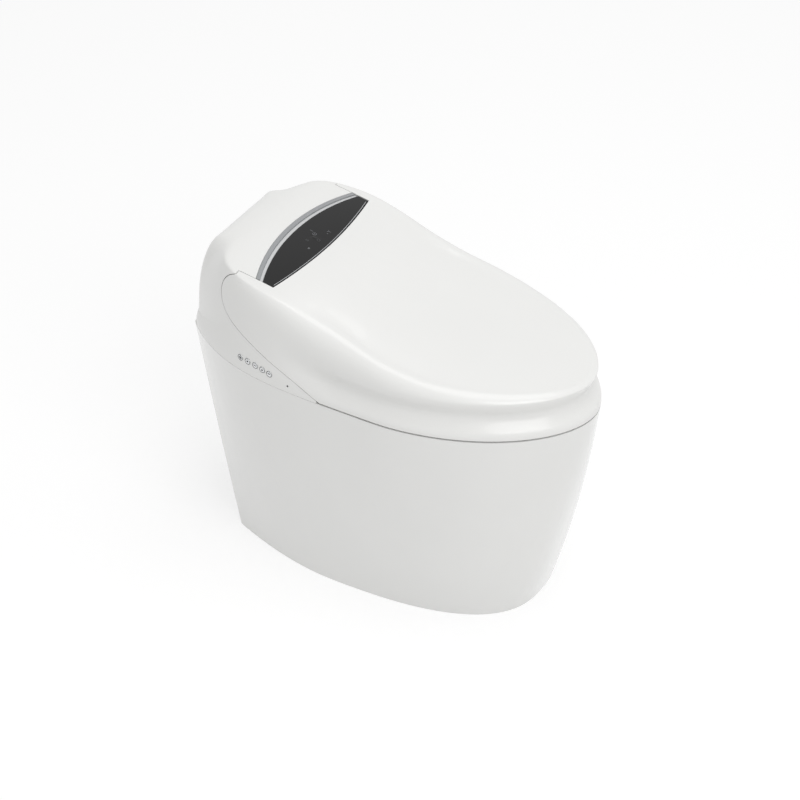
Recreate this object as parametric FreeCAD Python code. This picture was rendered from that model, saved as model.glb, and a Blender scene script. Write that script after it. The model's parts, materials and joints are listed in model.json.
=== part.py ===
"""A one-piece skirted smart toilet with a heated seat, in millimetres.

The sitter faces -Y, the wall is at +Y, +Z is up, and the origin is at the bottom centre of the object. One crown
surface runs over the lid and the rear housing together, and each of them is cut from it, so that they stay flush.
"""
import FreeCAD, Part
import math
import os
from collections import namedtuple

Vec = FreeCAD.Vector
X_AXIS, Y_AXIS, Z_AXIS = Vec(1, 0, 0), Vec(0, 1, 0), Vec(0, 0, 1)
FAR = 700.0                    # further than any piece reaches

# ---- plan outlines: the pan's foot and its rim ------------------------------------------------------------------
Outline = namedtuple("Outline", "half widest_y front_y rear_y rear_half nose flare")
RIM = Outline(half=192.6, widest_y=-54.0, front_y=-345.0, rear_y=345.0, rear_half=99.0, nose=1.82, flare=4.1)
FOOT = Outline(half=160.4, widest_y=58.0, front_y=-266.0, rear_y=264.0, rear_half=111.7, nose=2.6, flare=1.7)
BELLY = Outline(half=186.0, widest_y=-14.0, front_y=-324.0, rear_y=317.0, rear_half=104.0, nose=2.1, flare=3.2)
BELLY_Z = 250.0                # the skirt swells a little between foot and rim
RIM_Z = 388.0

# ---- ceramic ----------------------------------------------------------------------------------------------------
SKIRT_WALL = 12.0
BOWL_WALL = 11.0
RIM_SLAB = 16.0
BACK_CORNER_R = 10.0
RIM_EDGE_R = 2.5
# bowl sections from the rim down: (front y, rear y, half-width, z)
BOWL = ((-283, 45, 126, 390), (-285, 42, 127, 345), (-250, -75, 92, 250), (-205, -103, 52, 160),
        (-185, -115, 34, 112))
TRAP_R, TRAP_WALL, TRAP_BEND_R = 28.0, 9.0, 46.0
OUTLET_Y = 45.0                # floor outlet, 300 mm from the wall
TRAP_PATH = ((0, -150, 137), (0, -75, 120), (0, OUTLET_Y, 453))
HORN_R, HORN_HEIGHT = 44.0, 70.0
SEAL_R, SEAL_BORE, SEAL_HEIGHT = 36.0, 30.0, 60.0    # rubber sleeve in the mouth of the trapway
FLUSH_Z, FLUSH_R, SPUD_R, SPUD_END_Y = 330.0, 12.0, 20.0, 95.0
WELL = (-95.0, 95.0, 212.0, 325.0)      # service well in the rear deck: x low, x high, y low, y high
BACK_DOOR = (-65.0, 65.0, 60.0, 200.0)  # plumbing opening in the back wall: x low, x high, z low, z high

# ---- crown of lid and housing -----------------------------------------------------------------------------------
CROWN_Y = 175.0                # rings of the crown shrink towards this point, under the display
RING_POINTS = 96
CORNER_SHARPNESS = 41.0
CROWN_BASE_Z = RIM_Z + 0.6
SHELL = 3.0
# ridge of the crown over its length: (y, z)
RIDGE = ((-345, 456.2), (-300, 461.5), (-250, 467), (-190, 473.5), (-130, 481), (-60, 493), (0, 505.5), (60, 525),
         (110, 541.5), (157, 551.8), (205, 559.2), (260, 566), (310, 558), (345, 547.5))
# how far the crown falls from the ridge to 150 mm beside it: (y, fall)
CROSS_FALL = ((-345, 4), (-150, 9), (0, 9), (100, 6), (157, 4), (345, 4))
# where the shoulder meets the top, as an inset from the plan outline: (y, inset)
SHOULDER_IN = ((-345, 26), (-200, 44), (0, 50), (120, 29), (200, 20), (260, 25), (320, 60), (345, 52))
# height where the shoulder starts to roll in: (y, z)
SHOULDER_Z = ((-345, 453), (-100, 453), (0, 458), (120, 486), (200, 498), (260, 453), (320, 424), (345, 418))
# lower edge of the lid, a rolled skirt under a drawn-in waist: (inset, z)
LID_EDGE = ((0, 388.6), (0, 395), (1.5, 400), (5, 405), (10, 410), (16, 416), (19, 422), (18, 430), (12, 440),
            (7.5, 450))
# plain wall of the housing, row for row with the lid's edge: (inset, z)
HOUSING_EDGE = ((0, 388.6), (0, 399), (0.2, 406), (0.5, 413), (1, 420), (1.6, 427), (2.4, 434), (3.2, 441),
                (4.2, 450), (5.5, 460))
WAIST_END_Y, WAIST_FADE = 10.0, 140.0    # behind this the waist fades out over this length
SHOULDER_STEPS = (18, 36, 54, 72, 90)
TOP_RINGS = (0.86, 0.72, 0.58, 0.44, 0.31, 0.19, 0.09, 0.03, 0.006)

# ---- split between lid and housing ------------------------------------------------------------------------------
SEAM_GAP = 1.2
LID_BOTTOM_Z = RIM_Z + 3.2
EAR_X = 147.0                  # inner face of the lid's ears
EAR_Y, EAR_Z, EAR_R = 205.0, 512.5, 46.0
EAR_TIP_Y = 219.5
EAR_SLOPE = math.radians(24.0)
EAR_WALL_FRONT_Y = 108.0
LID_RIB_Z = 543.0
LINER_SKIN, LINER_WALL, LINER_REAR_Y, LINER_BOTTOM_Z = 6.5, 3.0, 103.0, 431.0
BUMPER_TURNS = (132.0, 160.0)  # degrees round from the back
BUMPER_R, BUMPER_INSET = 4.0, 5.5

# ---- display ----------------------------------------------------------------------------------------------------
GLASS_FRONT = (157.0, 142.0)   # y at the ends and in the middle of the front edge
GLASS_REAR = (176.0, 204.0)    # y at the ends and in the middle of the rear edge
TRIM_REAR = (188.0, 218.0)
GLASS_SUNK, GLASS_THICK = 0.8, 3.0
POCKET_DEPTH, POCKET_FLOOR = 6.0, 2.5
FIT = 0.3                      # clearance of a piece set in a recess

# ---- hinges -----------------------------------------------------------------------------------------------------
LID_HINGE = (203.0, 540.0)     # y, z
LID_STUB_R, LID_STUB_IN_X, LID_STUB_OUT_X = 5.0, 105.0, 161.0
EAR_BOSS_R, TOWER_BOSS_R = 10.0, 8.5
TOWER = (118.0, 138.0, 192.0, 216.0)    # x low, x high, y low, y high
SEAT_HINGE = (86.0, 418.0)
SEAT_PIN_R = 4.0
RUNNING = 0.05                 # radial clearance of a shaft in its bearing

# ---- seat -------------------------------------------------------------------------------------------------------
SEAT_BOTTOM_Z, SEAT_TOP_Z, SEAT_JOINT_Z = 398.0, 428.0, 410.0
SEAT_INSET = 17.0
SEAT_REAR_Y = 28.0
SEAT_HOLE_FRONT_Y, SEAT_HOLE_REAR_Y, SEAT_HOLE_HALF = -270.0, -12.0, 106.0
SEAT_HOLE_FLARE = 12.0
SEAT_WALL = 3.5
SEAT_EDGE = ((17, 410), (25, 417), (33, 422), (42, 425.7), (53, 428))    # section of its top: (inset, z)
SEAT_CAVITY_INSET, SEAT_CAVITY_Z = 30.0, 419.0
SEAT_POCKET_X, SEAT_POCKET_Y, SEAT_POCKET_Z = 80.0, -40.0, 407.0
LUG_X, LUG_WIDTH, LUG_R = 97.0, 30.0, 11.0

# ---- nose of the housing, under the lid -------------------------------------------------------------------------
NOSE_X, NOSE_FRONT_Y, NOSE_TOP_Z = 86.0, 31.0, 430.0
NOSE_STEP_Y = 104.0
NOSE_BROW = (132.0, 528.0)
NOSE_ROOF_Z = 534.0

# ---- chassis and what it carries --------------------------------------------------------------------------------
PLATE_THICK, PLATE_INSET = 4.2, 6.0
PLATE_Z = RIM_Z + PLATE_THICK  # top of the plate
PLATE_FRONT_Y, PLATE_NOSE_FRONT_Y, PLATE_NOSE_X = 110.0, 64.0, 82.0
DECK_BOLT_X, DECK_BOLT_Y, DECK_BOLT_R = 106.0, (122.0, 200.0), 4.0
SEAT_POST = (74.0, 82.0, 76.0, 96.0)    # x low, x high, y low, y high
WAND_TILT = 15.0
WAND_TIP = (33.0, 400.0)       # y, z of the wands' front end
WAND_X, WAND_R, WAND_BORE, WAND_LENGTH, TIP_LENGTH = 14.0, 6.0, 3.2, 250.0, 18.0
RACK_START, RACK_END, PINION_AT = 120.0, 244.0, 124.0
MODULE, PINION_TEETH, BACKLASH = 1.0, 14, 0.17
RACK_LINE = 8.5                # pitch line of the rack, beside the wand's axis
INLET_AT, GLAND_AT = (-72.0, 238.0), (72.0, 262.0)
THREAD_R, NECK_R, THREAD_TOP_Z = 10.48, 9.0, 382.0    # G 1/2 thread, and its neck through the plate
FLUSH_VALVE_AT = (0.0, 250.0)
DRYER_AT, DRYER_R = (150.0, 430.0), 34.0
DRYER_X = (62.0, 90.0)
FLAP_X, FLAP_HINGE, FLAP_HEIGHT, FLAP_THICK = (45.0, 69.0), (32.4, 404.7), 12.4, 1.5
DEODORISER_AT, DEODORISER_R = (112.0, 162.0), 20.0
CARTRIDGE = (142.0, 148.0, 176.0, 397.0, 411.0)    # x low, y low, y high, z low, z high

# ---- buttons, on the -X side ------------------------------------------------------------------------------------
BUTTON_R, BUTTON_PROUD, BUTTON_DEPTH = 5.7, 0.8, 9.0
BUTTONS = (("button_stop", 203.0, 414.0), ("button_rear_wash", 187.0, 414.0), ("button_front_wash", 171.0, 413.5),
           ("button_dryer", 156.0, 412.0), ("button_flush", 142.0, 409.5))
LED_Y, LED_Z, LED_R = 106.0, 401.0, 1.6


# ---- small helpers ----------------------------------------------------------------------------------------------
def save(node, shape):
    """Write one sub-part, as one solid or a group of separate solids."""
    solids = shape.Solids
    whole = solids[0] if len(solids) == 1 else Part.makeCompound(solids)
    whole.exportStep("parts/%s.step" % node)
    print("%-20s solids %2d  volume %10.0f  %s" % (node, len(solids), whole.Volume, whole.isValid()))


def block(x0, x1, y0, y1, z0, z1):
    return Part.makeBox(x1 - x0, y1 - y0, z1 - z0, Vec(x0, y0, z0))


def rod(radius, start, end):
    """Cylinder between two points."""
    a, b = Vec(*start), Vec(*end)
    return Part.makeCylinder(radius, (b - a).Length, a, b - a)


def both_sides(shape):
    """The shape and its mirror image across x = 0."""
    return [shape, shape.mirror(Vec(0, 0, 0), X_AXIS)]


def fused(shapes):
    whole = shapes[0]
    if len(shapes) > 1:
        whole = shapes[0].fuse(shapes[1:])
    return whole.removeSplitter()


def side_prism(points, x0, x1):
    """Prism along X over a closed outline of (y, z) points."""
    wire = Part.makePolygon([Vec(x0, y, z) for y, z in points] + [Vec(x0, *points[0])])
    return Part.Face(wire).extrude(Vec(x1 - x0, 0, 0))


def rounded_slab(x0, x1, y0, y1, z0, z1, radius):
    slab = block(x0, x1, y0, y1, z0, z1)
    upright = [e for e in slab.Edges if abs(e.tangentAt(e.FirstParameter).z) > 0.9]
    return slab.makeFillet(radius, upright)


def through(knots):
    """Smooth curve through (y, value) knots, as a function of y."""
    ys = [k[0] for k in knots]
    vs = [k[1] for k in knots]
    last = len(ys) - 1
    slopes = []
    for i in range(len(ys)):
        a, b = max(i - 1, 0), min(i + 1, last)
        slopes.append((vs[b] - vs[a]) / (ys[b] - ys[a]))

    def value(y):
        y = min(max(y, ys[0]), ys[-1])
        i = max(j for j in range(last) if ys[j] <= y)
        h = ys[i + 1] - ys[i]
        t = (y - ys[i]) / h
        return (vs[i] * (1 + 2 * t) * (1 - t) ** 2 + slopes[i] * h * t * (1 - t) ** 2
                + vs[i + 1] * t * t * (3 - 2 * t) - slopes[i + 1] * h * t * t * (1 - t))
    return value


def route(points, radius):
    """Wire of straight runs through (x, y, z) points, joined by tangent arcs of one radius."""
    pts = [Vec(*p) for p in points]
    edges, start = [], pts[0]
    for before, corner, after in zip(pts, pts[1:], pts[2:]):
        a, b = (before - corner).normalize(), (after - corner).normalize()
        half_turn = (math.pi - a.getAngle(b)) / 2
        back = radius * math.tan(half_turn)
        inward = (a + b).normalize()
        middle = corner + inward * (radius / math.cos(half_turn) - radius)
        first, second = corner + a * back, corner + b * back
        edges.append(Part.LineSegment(start, first).toShape())
        edges.append(Part.Arc(first, middle, second).toShape())
        start = second
    edges.append(Part.LineSegment(start, pts[-1]).toShape())
    return Part.Wire(edges)


def tube(wire, radius):
    """Solid round bar along a wire."""
    edge = wire.Edges[0]
    start, heading = edge.valueAt(edge.FirstParameter), edge.tangentAt(edge.FirstParameter)
    circle = Part.Wire(Part.makeCircle(radius, start, heading))
    return wire.makePipeShell([circle], True, False)


def hose(points, bend, outer, bore):
    wire = route(points, bend)
    return tube(wire, outer).cut(tube(wire, bore))


# ---- plan outlines ----------------------------------------------------------------------------------------------
def half_at(o, y):
    """Half-width of an outline at y."""
    if y > o.widest_y:
        t = (y - o.widest_y) / (o.rear_y - o.widest_y)
        return o.half * (1 - (1 - o.rear_half / o.half) * t ** o.flare)
    t = (o.widest_y - y) / (o.widest_y - o.front_y)
    return o.half * max(0.0, 1 - t ** o.nose) ** (1 / o.nose)


def shrunk(o, d):
    return o._replace(half=o.half - d, front_y=o.front_y + d, rear_y=o.rear_y - d, rear_half=o.rear_half - d)


def outline_wire(o, z):
    """Outline with a straight back and one smooth curve round the sides and the front."""
    side = []
    for k in range(9):
        y = o.rear_y + (o.widest_y - o.rear_y) * k / 9
        side.append((half_at(o, y), y))
    for k in range(15):
        a = math.pi / 2 * k / 15
        side.append((o.half * math.cos(a) ** (2 / o.nose),
                     o.widest_y - (o.widest_y - o.front_y) * math.sin(a) ** (2 / o.nose)))
    points = [Vec(x, y, z) for x, y in side] + [Vec(0, o.front_y, z)]
    points += [Vec(-x, y, z) for x, y in reversed(side)]
    curve = Part.BSplineCurve()
    curve.interpolate(points)
    back = Part.LineSegment(points[-1], points[0])
    return Part.Wire([curve.toShape(), back.toShape()])


def oval_wire(front_y, rear_y, half, z, fullness=2.2):
    """Closed egg outline of a bowl or a seat opening."""
    middle, reach = (front_y + rear_y) / 2, (rear_y - front_y) / 2
    points = []
    for k in range(28):
        a = 2 * math.pi * k / 28
        c, s = math.cos(a), math.sin(a)
        points.append(Vec(half * math.copysign(abs(c) ** (2 / fullness), c),
                          middle + reach * math.copysign(abs(s) ** (2 / fullness), s), z))
    curve = Part.BSplineCurve()
    curve.interpolate(points, True)
    return Part.Wire(curve.toShape())


# ---- crown surface ----------------------------------------------------------------------------------------------
ridge_z, cross_fall = through(RIDGE), through(CROSS_FALL)
shoulder_in, shoulder_z = through(SHOULDER_IN), through(SHOULDER_Z)


def top_z(x, y):
    return ridge_z(y) - cross_fall(y) * abs(x / 150.0) ** 2.5


def reach(angle):
    """Distance from the crown's centre to the rim outline, with the two back corners rounded."""
    sx, cy = math.sin(angle), math.cos(angle)
    low, high = 0.0, 800.0
    for _ in range(40):
        r = (low + high) / 2
        y = CROWN_Y + r * cy
        if y > RIM.front_y and abs(r * sx) < half_at(RIM, min(y, RIM.rear_y + 135)):
            low = r
        else:
            high = r
    if cy > 1e-6:
        back = (RIM.rear_y - CROWN_Y) / cy
        low = (low ** -CORNER_SHARPNESS + back ** -CORNER_SHARPNESS) ** (-1 / CORNER_SHARPNESS)
    return low


def plan_point(angle, distance):
    return distance * math.sin(angle), CROWN_Y + distance * math.cos(angle)


def ring_angles():
    """Angles from the back round one side to the front, evenly spaced and closer at the back corner."""
    steps = 720
    fine = [math.pi * i / steps for i in range(steps + 1)]
    points = [plan_point(a, reach(a)) for a in fine]
    corner = (RIM.rear_half, RIM.rear_y)
    cost = [0.0]
    for a, b in zip(points, points[1:]):
        closeness = math.exp(-(math.dist(a, corner) / 45.0) ** 2)
        cost.append(cost[-1] + math.dist(a, b) * (1 + 1.2 * closeness))
    half = RING_POINTS // 2
    return [next(a for a, c in zip(fine, cost) if c >= cost[-1] * k / half - 1e-9) for k in range(half + 1)]


def support(angle):
    """Distance from the crown's centre square to the outline's tangent at an angle."""
    h = 0.001
    (x0, y0), (x1, y1) = plan_point(angle - h, reach(angle - h)), plan_point(angle + h, reach(angle + h))
    run = math.hypot(x1 - x0, y1 - y0)
    x, y = plan_point(angle, reach(angle))
    return max(40.0, abs(x * (y1 - y0) - (y - CROWN_Y) * (x1 - x0)) / run)


def crown_column(angle, skin):
    """Points from the crown's base up and in to its middle; skin moves them inwards by a wall."""
    edge = reach(angle)
    x0, y0 = plan_point(angle, edge)
    square = support(angle)
    t = min(1.0, max(0.0, (y0 - WAIST_END_Y) / WAIST_FADE))
    waist = 1 - t * t * (3 - 2 * t)

    def at(inset, z):
        s = 1 - (inset + skin) / square
        return Vec(x0 * s, CROWN_Y + (y0 - CROWN_Y) * s, z)

    column = []
    start_z = shoulder_z(y0)
    full = waist * LID_EDGE[-1][1] + (1 - waist) * HOUSING_EDGE[-1][1]
    for (lid_in, lid_z), (rear_in, rear_z) in zip(LID_EDGE, HOUSING_EDGE):
        inset = waist * lid_in + (1 - waist) * rear_in
        z = waist * lid_z + (1 - waist) * rear_z
        rise = (z - CROWN_BASE_Z) / (full - CROWN_BASE_Z)
        column.append(at(inset, z + (start_z - full) * rise ** (1 + 1.5 * waist)))
    wall_in = waist * LID_EDGE[-1][0] + (1 - waist) * HOUSING_EDGE[-1][0]
    top_in = max(shoulder_in(y0), wall_in + 5)
    inner = at(top_in, 0)
    rise = top_z(inner.x, inner.y) - skin - column[-1].z
    foot_z = column[-1].z
    for step in SHOULDER_STEPS:
        a = math.radians(step)
        column.append(at(top_in - (top_in - wall_in) * math.cos(a), foot_z + rise * math.sin(a)))
    for share in TOP_RINGS:
        x, y = inner.x * share, CROWN_Y + (inner.y - CROWN_Y) * share
        column.append(Vec(x, y, top_z(x, y) - skin))
    return column


def sharpened(row, closed):
    """Poles that bring a cubic spline back onto the points of a row."""
    last = len(row) - 1
    poles = []
    for i, p in enumerate(row):
        if not closed and i in (0, last):
            poles.append(p)
        else:
            poles.append(p + (p * 2 - row[i - 1] - row[(i + 1) % len(row)]) * (1 / 6.0))
    return poles


def crown(skin):
    """Solid under the crown surface, drawn in by a skin thickness."""
    half = [crown_column(a, skin) for a in ring_angles()]
    left = [[Vec(-p.x, p.y, p.z) for p in column] for column in reversed(half[1:-1])]
    columns = half + left
    tip_z = sum(column[-1].z for column in columns) / len(columns)
    for column in columns:
        column[-1].z = tip_z
    columns = [sharpened(column, False) for column in columns]
    rings = [sharpened(ring, True) for ring in zip(*columns)]
    poles = [list(column) for column in zip(*rings)]
    around, up = len(poles), len(rings)
    surface = Part.BSplineSurface()
    surface.buildFromPolesMultsKnots(poles, [1] * (around + 1), [4] + [1] * (up - 4) + [4],
                                     [float(k) for k in range(around + 1)], [float(k) for k in range(up - 2)],
                                     True, False, 3, 3)
    u0, u1, v0, v1 = surface.bounds()
    middle = (u0 + u1) / 2
    sides = [surface.toShape(u0, middle, v0, v1), surface.toShape(middle, u1, v0, v1)]
    caps = []
    for level in (v0, v1):
        ring = surface.vIso(level)
        wire = Part.Wire([ring.toShape(u0, middle), ring.toShape(middle, u1)])
        caps.append(Part.Face(Part.Plane(ring.value(u0), Z_AXIS), wire))
    shell = Part.Shell(sides + caps)
    shell.sewShape()
    solid = Part.Solid(Part.Shell(shell.Faces))
    if solid.Volume < 0:
        solid.reverse()
    return solid


def ring_point(angle, inset):
    """Plan point at an inset from the crown's outline."""
    return plan_point(angle, reach(angle) * (1 - inset / support(angle)))


# ---- split regions ----------------------------------------------------------------------------------------------
def ear_space(grow):
    """Space of the lid outside its ears' inner faces, as two prisms, grown on all sides."""
    low = LID_BOTTOM_Z - grow
    r = EAR_R + grow
    s, c = math.sin(EAR_SLOPE), math.cos(EAR_SLOPE)
    touch = Vec(0, EAR_Y + r * s, EAR_Z - r * c)
    corner = Vec(0, touch.y - (touch.z - low) / math.tan(EAR_SLOPE), low)
    tip_y = EAR_TIP_Y + grow
    end = Vec(0, tip_y, EAR_Z + math.sqrt(r * r - (tip_y - EAR_Y) ** 2))
    start, top = Vec(0, -FAR, low), [Vec(0, tip_y, FAR), Vec(0, -FAR, FAR)]
    edges = [Part.LineSegment(start, corner).toShape(), Part.LineSegment(corner, touch).toShape(),
             Part.Arc(touch, Vec(0, EAR_Y + r, EAR_Z), end).toShape(), Part.LineSegment(end, top[0]).toShape(),
             Part.LineSegment(top[0], top[1]).toShape(), Part.LineSegment(top[1], start).toShape()]
    prism = Part.Face(Part.Wire(edges)).extrude(Vec(FAR, 0, 0))
    prism.translate(Vec(EAR_X - grow, 0, 0))
    return both_sides(prism)


def arc_slab(ends_y, middle_y, half, z0, z1, front=True):
    """Slab between z0 and z1 on one side of an arc in plan."""
    far_y = -FAR if front else FAR
    a, b = Vec(-half, ends_y, z0), Vec(half, ends_y, z0)
    edges = [Part.Arc(a, Vec(0, middle_y, z0), b).toShape(),
             Part.LineSegment(b, Vec(half, far_y, z0)).toShape(),
             Part.LineSegment(Vec(half, far_y, z0), Vec(-half, far_y, z0)).toShape(),
             Part.LineSegment(Vec(-half, far_y, z0), a).toShape()]
    return Part.Face(Part.Wire(edges)).extrude(Vec(0, 0, z1 - z0))


def band(front, rear, half, z0, z1):
    """Slab between two arcs in plan, each given by its y at the ends and in the middle."""
    return arc_slab(rear[0], rear[1], half, z0, z1).cut(arc_slab(front[0], front[1], half, z0 - 1, z1 + 1))


def shifted(arc, d):
    return arc[0] + d, arc[1] + d


def lid_side(grow):
    """Everything in front of the housing, grown into it; a list of tools to cut with."""
    side = EAR_X - SEAM_GAP
    brow_y, brow_z = NOSE_BROW
    over = [(-FAR, NOSE_TOP_Z - grow), (NOSE_STEP_Y + grow, NOSE_TOP_Z - grow), (brow_y + grow, brow_z - grow),
            (brow_y + grow + 3, NOSE_ROOF_Z - grow), (brow_y + grow + 3, FAR), (-FAR, FAR)]
    tools = ear_space(SEAM_GAP + grow)
    tools.append(block(-FAR, FAR, -FAR, NOSE_FRONT_Y + grow, 0, FAR))
    tools += both_sides(block(NOSE_X - grow, side + grow, -FAR, NOSE_STEP_Y + grow, 0, NOSE_TOP_Z + 1))
    tools += both_sides(block(side, FAR, -FAR, 52 + grow, 0, LID_BOTTOM_Z + 5))
    tools.append(side_prism(over, -side, side))
    tools.append(arc_slab(GLASS_FRONT[0] + grow, GLASS_FRONT[1] + grow, side + 0.5, NOSE_ROOF_Z - grow, FAR))
    return tools


# ---- ceramic ----------------------------------------------------------------------------------------------------
def bowl_solid(grow):
    wires = []
    for front_y, rear_y, half, z in BOWL:
        drop = grow if z == BOWL[-1][3] else 0
        wires.append(oval_wire(front_y - grow, rear_y + grow, half + grow, z - drop))
    return Part.makeLoft(wires, True, False)


def ceramic_pedestal():
    outer = Part.makeLoft([outline_wire(FOOT, 0), outline_wire(BELLY, BELLY_Z), outline_wire(RIM, RIM_Z)],
                          True, False)
    corners = [e for e in outer.Edges if abs(e.Vertexes[0].Z - e.Vertexes[-1].Z) > 300 and e.BoundBox.YMin > 200]
    outer = outer.makeFillet(BACK_CORNER_R, corners)
    inner = Part.makeLoft([outline_wire(shrunk(FOOT, SKIRT_WALL), -1), outline_wire(shrunk(BELLY, SKIRT_WALL), BELLY_Z),
                           outline_wire(shrunk(RIM, SKIRT_WALL), RIM_Z - RIM_SLAB)], True, False)
    shell = outer.cut(inner)
    trap = TRAP_PATH + ((0, OUTLET_Y, 0),)
    pieces = [bowl_solid(BOWL_WALL).cut(block(-FAR, FAR, -FAR, FAR, RIM_Z - 1, FAR)),
              tube(route(trap, TRAP_BEND_R), TRAP_R + TRAP_WALL),
              rod(HORN_R, (0, OUTLET_Y, 0), (0, OUTLET_Y, HORN_HEIGHT)),
              rod(SPUD_R, (0, 25, FLUSH_Z), (0, SPUD_END_Y, FLUSH_Z))]
    whole = shell.fuse(pieces)
    bore = TRAP_PATH + ((0, OUTLET_Y, -2),)
    tools = [bowl_solid(0), tube(route(bore, TRAP_BEND_R), TRAP_R),
             rod(SEAL_R, (0, OUTLET_Y, -1), (0, OUTLET_Y, SEAL_HEIGHT)),
             rod(FLUSH_R, (0, 15, FLUSH_Z), (0, SPUD_END_Y + 1, FLUSH_Z)),
             block(WELL[0], WELL[1], WELL[2], WELL[3], RIM_Z - RIM_SLAB - 1, RIM_Z + 1),
             block(BACK_DOOR[0], BACK_DOOR[1], 230, FAR, BACK_DOOR[2], BACK_DOOR[3])]
    for x in (-DECK_BOLT_X, DECK_BOLT_X):
        tools += [rod(DECK_BOLT_R + 0.5, (x, y, RIM_Z - 30), (x, y, RIM_Z + 1)) for y in DECK_BOLT_Y]
    return whole.cut(tools)


def outlet_seal():
    ring = rod(SEAL_R, (0, OUTLET_Y, 0), (0, OUTLET_Y, SEAL_HEIGHT))
    return ring.cut(rod(SEAL_BORE, (0, OUTLET_Y, -1), (0, OUTLET_Y, SEAL_HEIGHT + 1)))


# ---- lid --------------------------------------------------------------------------------------------------------
def lid_shell(outer, inner):
    y, z = LID_HINGE
    side = EAR_X - SEAM_GAP
    middle = arc_slab(GLASS_FRONT[0] - SEAM_GAP, GLASS_FRONT[1] - SEAM_GAP, EAR_X, LID_BOTTOM_Z, FAR)
    body = outer.common(fused([middle] + ear_space(0)))
    hollow = [block(-FAR, FAR, -FAR, EAR_WALL_FRONT_Y, 0, FAR),
              arc_slab(GLASS_FRONT[0] - SEAM_GAP - SHELL, GLASS_FRONT[1] - SEAM_GAP - SHELL, EAR_X, 0, FAR),
              block(-EAR_X, EAR_X, 0, GLASS_FRONT[0] + 5, 0, LID_RIB_Z)]
    core = inner.common(fused(hollow + ear_space(-SHELL)))
    bosses = both_sides(rod(EAR_BOSS_R, (EAR_X, y, z), (LID_STUB_OUT_X + 2, y, z)))
    holes = both_sides(rod(LID_STUB_R, (side, y, z), (LID_STUB_OUT_X, y, z)))
    return body.cut(core).fuse(bosses).cut(holes)


def lid_hinge_stubs():
    y, z = LID_HINGE
    return Part.makeCompound(both_sides(rod(LID_STUB_R, (LID_STUB_IN_X, y, z), (LID_STUB_OUT_X, y, z))))


def lid_liner(inner):
    room = block(-FAR, FAR, -FAR, LINER_REAR_Y, LINER_BOTTOM_Z, FAR)
    more = block(-FAR, FAR, -FAR, LINER_REAR_Y + 1, LINER_BOTTOM_Z - 1, FAR)
    tray = crown(LINER_SKIN).common(room).cut(crown(LINER_SKIN + LINER_WALL).common(more))
    under = crown(LINER_SKIN + LINER_WALL / 2)
    clips = []
    for x, y in ((70, -220), (90, -20)):
        clips += both_sides(rod(5.0, (x, y, LINER_BOTTOM_Z), (x, y, FAR)).common(inner).cut(under))
    return tray.fuse(clips)


def lid_bumpers(inner):
    stops = []
    for turn in BUMPER_TURNS:
        x, y = ring_point(math.radians(turn), BUMPER_INSET)
        stops += both_sides(rod(BUMPER_R, (x, y, RIM_Z), (x, y, LID_BOTTOM_Z + 8)).common(inner))
    return Part.makeCompound(stops)


# ---- housing ----------------------------------------------------------------------------------------------------
def side_frame(y, z, inner):
    """Point on the -X side of the crown at a height, and the outward direction there."""
    line = Part.LineSegment(Vec(-FAR, y, z), Vec(0, y, z)).toShape()
    x = line.common(inner).BoundBox.XMin
    slope = (half_at(RIM, y + 1) - half_at(RIM, y - 1)) / 2
    return Vec(x, y, z), Vec(-1, -slope, 0).normalize()


def rear_housing(outer, inner, at_buttons, at_led):
    floor = crown(POCKET_DEPTH + POCKET_FLOOR)
    glass_side = EAR_X - SEAM_GAP
    pad = arc_slab(TRIM_REAR[0] + SHELL, TRIM_REAR[1] + SHELL, glass_side, 400, FAR).cut(floor)
    hollow = inner.cut(lid_side(SHELL) + [pad])
    recess = arc_slab(TRIM_REAR[0] + FIT, TRIM_REAR[1] + FIT, glass_side + 1, 400, FAR).cut(crown(POCKET_DEPTH))
    y, z = LID_HINGE
    sy, sz = SEAT_HINGE
    fy, fz = FLAP_HINGE
    x0, y0, y1, z0, z1 = CARTRIDGE
    gap = 0.4
    tools = [hollow, recess]
    tools += both_sides(rod(LID_STUB_R + 0.4, (100, y, z), (150, y, z)))
    tools += both_sides(rod(SEAT_PIN_R, (NOSE_X - 5, sy, sz), (NOSE_X + 1, sy, sz)))
    tools.append(block(-25, 25, 20, 40, 380, 409))
    tools.append(block(FLAP_X[0] - 1, FLAP_X[1] + 1, 20, 40, 391, 406.5))
    tools.append(rod(1.05, (FLAP_X[0] - 3, fy, fz), (FLAP_X[1] + 3, fy, fz)))
    tools.append(block(x0 - 5, FAR, y0 - gap, y1 + gap, z0 - gap, z1 + gap))
    for at, out in at_buttons:
        tools.append(rod(BUTTON_R + 0.3, at - out * 8, at + out * 8))
    at, out = at_led
    tools.append(rod(LED_R, at - out * 8, at + out * 8))
    for x in (-60, 60):
        sunk = Part.makeCone(4.0, 2.0, 2.0, Vec(x, RIM.rear_y - 0.2, 401), Vec(0, -1, 0))
        tools += [sunk, rod(4.0, (x, RIM.rear_y - 0.2, 401), (x, RIM.rear_y + 5, 401)),
                  rod(2.0, (x, RIM.rear_y - 2, 401), (x, RIM.rear_y - 8, 401))]
    return outer.cut(lid_side(0)).cut(tools)


def housing_screws():
    screws = []
    for x in (-60, 60):
        head = Part.makeCone(4.0, 2.0, 2.0, Vec(x, RIM.rear_y - 0.2, 401), Vec(0, -1, 0))
        screws.append(head.fuse(rod(2.0, (x, RIM.rear_y - 2, 401), (x, RIM.rear_y - 14, 401))))
    return Part.makeCompound(screws)


def display_glass():
    half = EAR_X - SEAM_GAP - FIT
    sheet = crown(GLASS_SUNK).cut(crown(GLASS_SUNK + GLASS_THICK))
    return sheet.common(band(shifted(GLASS_FRONT, FIT), GLASS_REAR, half, 400, FAR))


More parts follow.
